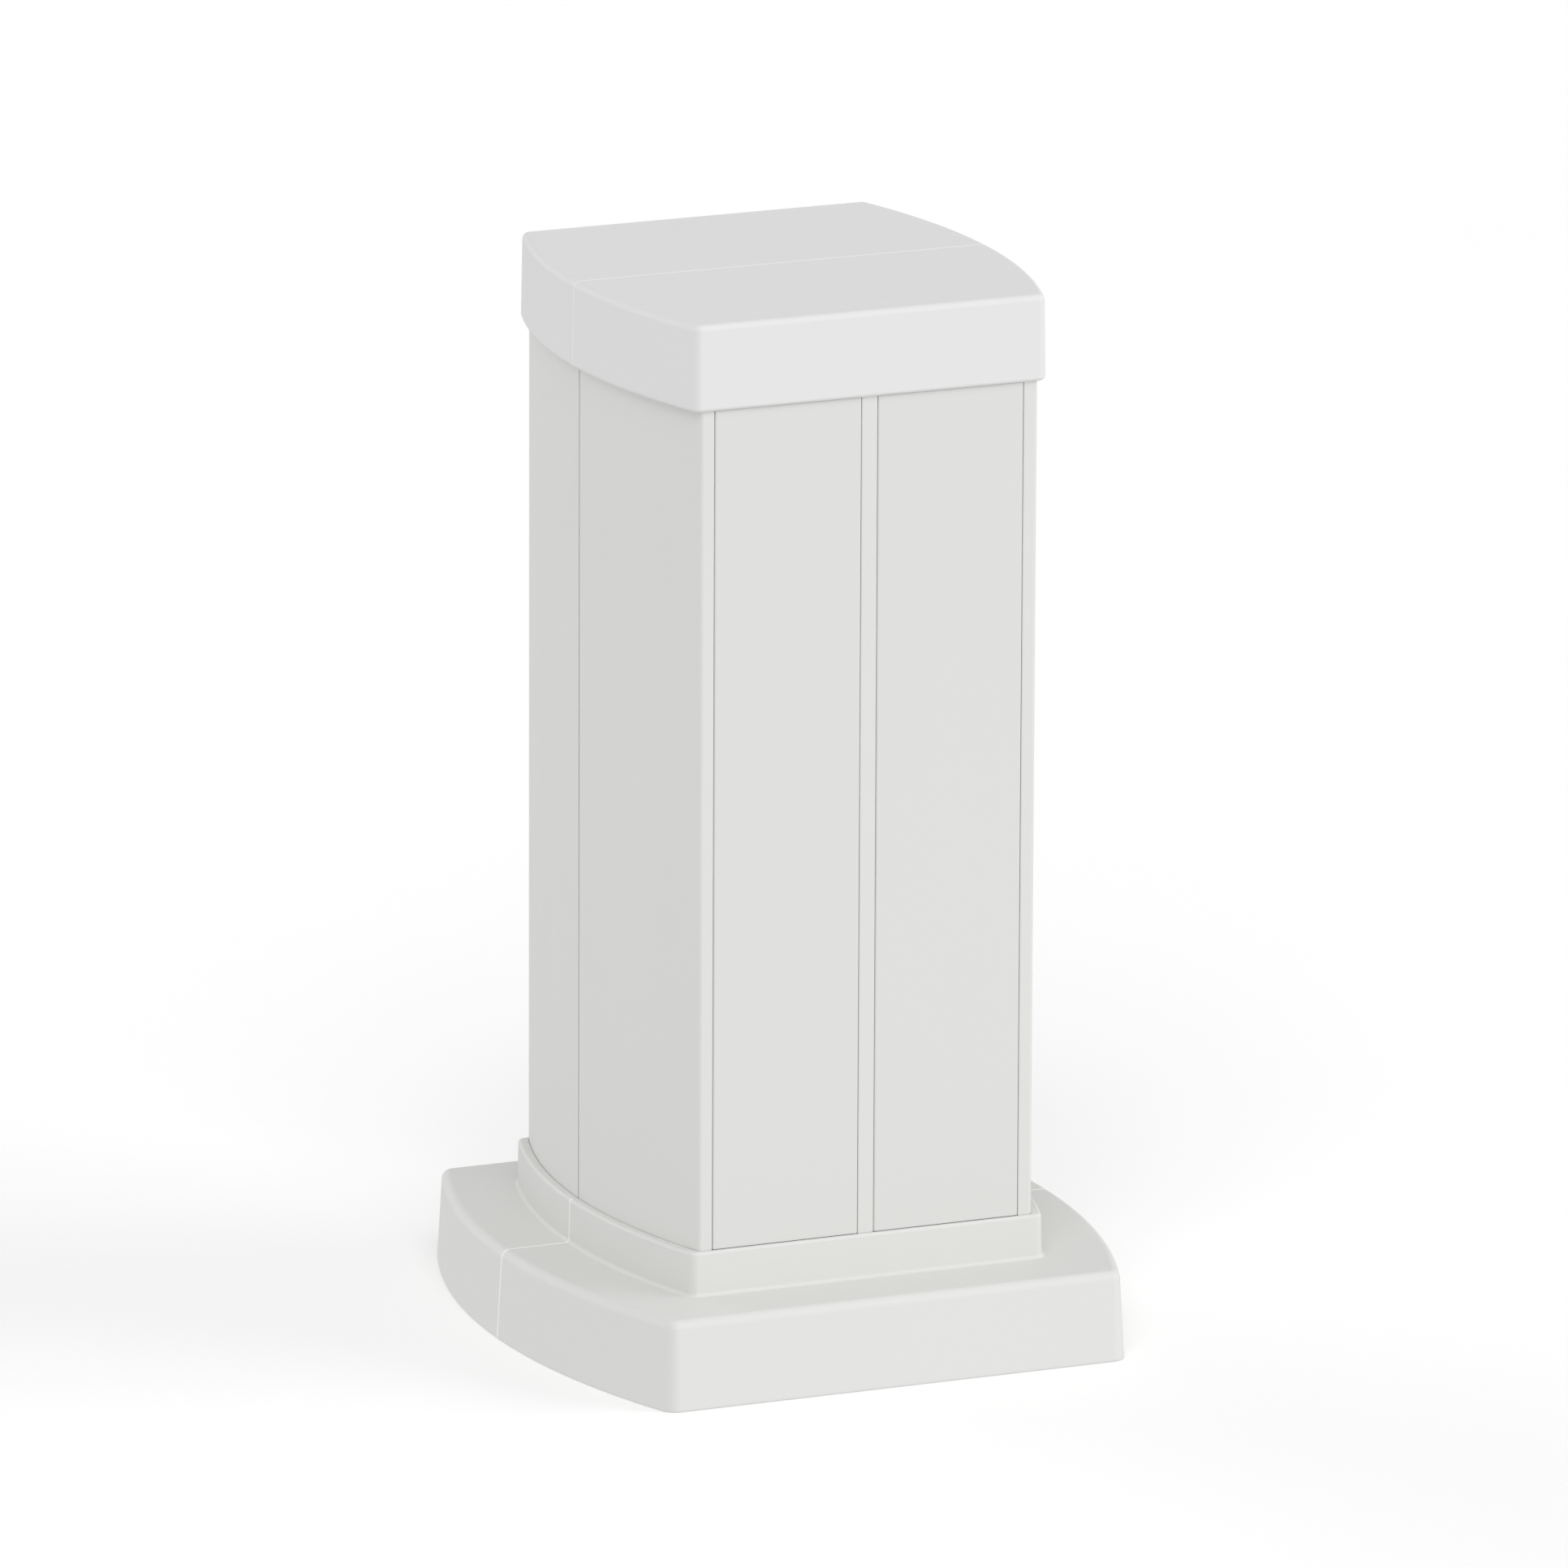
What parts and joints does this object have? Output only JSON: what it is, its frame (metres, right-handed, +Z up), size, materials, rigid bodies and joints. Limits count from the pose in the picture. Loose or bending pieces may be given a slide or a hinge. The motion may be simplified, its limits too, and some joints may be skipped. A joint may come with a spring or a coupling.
{
  "type": "floor service post",
  "caption": "Low floor-standing service post: bowed aluminium column with blank clip-on covers front and rear, flat two-part cap and wide moulded two-part base cover.",
  "frame": {"origin": "centre of the base on the floor", "axes": "+Z up along the column, -Y towards the front face, +X to the right seen from the front"},
  "size_m": [0.1746, 0.177, 0.309],
  "materials": {
    "coated_aluminium": "white powder coat, satin",
    "white_moulded_plastic": "fine matt mould texture",
    "white_cover_plastic": "smooth extruded, satin",
    "zinc_steel": "zinc plated",
    "tinned_copper": "tin plated",
    "plain_brass": "plain brass",
    "black_rubber": "matt",
    "lead_insulation": "green with a yellow stripe"
  },
  "bodies": {
    "post": {"floor_plate": "zinc_steel", "cable_entry_grommets": "black_rubber", "front_body": "coated_aluminium", "rear_body": "coated_aluminium", "body_fixing_screws": "zinc_steel", "joining_screws": "zinc_steel", "joining_washers": "zinc_steel", "joining_nuts": "zinc_steel", "earth_studs": "zinc_steel", "earth_washers": "zinc_steel", "earth_nuts": "plain_brass", "earth_ring_tags": "tinned_copper", "earth_lead_front": "lead_insulation", "earth_lead_rear": "lead_insulation", "earth_body_screws": "zinc_steel", "cable_retainers": "white_cover_plastic"},
    "cap_front": {"cap_front": "white_moulded_plastic"},
    "cap_rear": {"cap_rear": "white_moulded_plastic"},
    "base_cover_front": {"base_cover_front": "white_moulded_plastic"},
    "base_cover_rear": {"base_cover_rear": "white_moulded_plastic"},
    "cover_front_left": {"cover_front_left": "white_cover_plastic"},
    "cover_front_right": {"cover_front_right": "white_cover_plastic"},
    "cover_rear_left": {"cover_rear_left": "white_cover_plastic"},
    "cover_rear_right": {"cover_rear_right": "white_cover_plastic"}
  },
  "joints": [
    {"name": "cap_front_lift", "type": "slide", "parent": "post", "child": "cap_front", "axis": [0, 0, 1], "range_m": [0, 0.06]},
    {"name": "cap_rear_lift", "type": "slide", "parent": "post", "child": "cap_rear", "axis": [0, 0, 1], "range_m": [0, 0.06]},
    {"name": "base_cover_front_pull", "type": "slide", "parent": "post", "child": "base_cover_front", "axis": [0, -1, 0], "range_m": [0, 0.09]},
    {"name": "base_cover_rear_pull", "type": "slide", "parent": "post", "child": "base_cover_rear", "axis": [0, 1, 0], "range_m": [0, 0.09]},
    {"name": "cover_front_left_pull", "type": "slide", "parent": "post", "child": "cover_front_left", "axis": [0, -1, 0], "range_m": [0, 0.06]},
    {"name": "cover_front_right_pull", "type": "slide", "parent": "post", "child": "cover_front_right", "axis": [0, -1, 0], "range_m": [0, 0.06]},
    {"name": "cover_rear_left_pull", "type": "slide", "parent": "post", "child": "cover_rear_left", "axis": [0, 1, 0], "range_m": [0, 0.06]},
    {"name": "cover_rear_right_pull", "type": "slide", "parent": "post", "child": "cover_rear_right", "axis": [0, 1, 0], "range_m": [0, 0.06]}
  ]
}
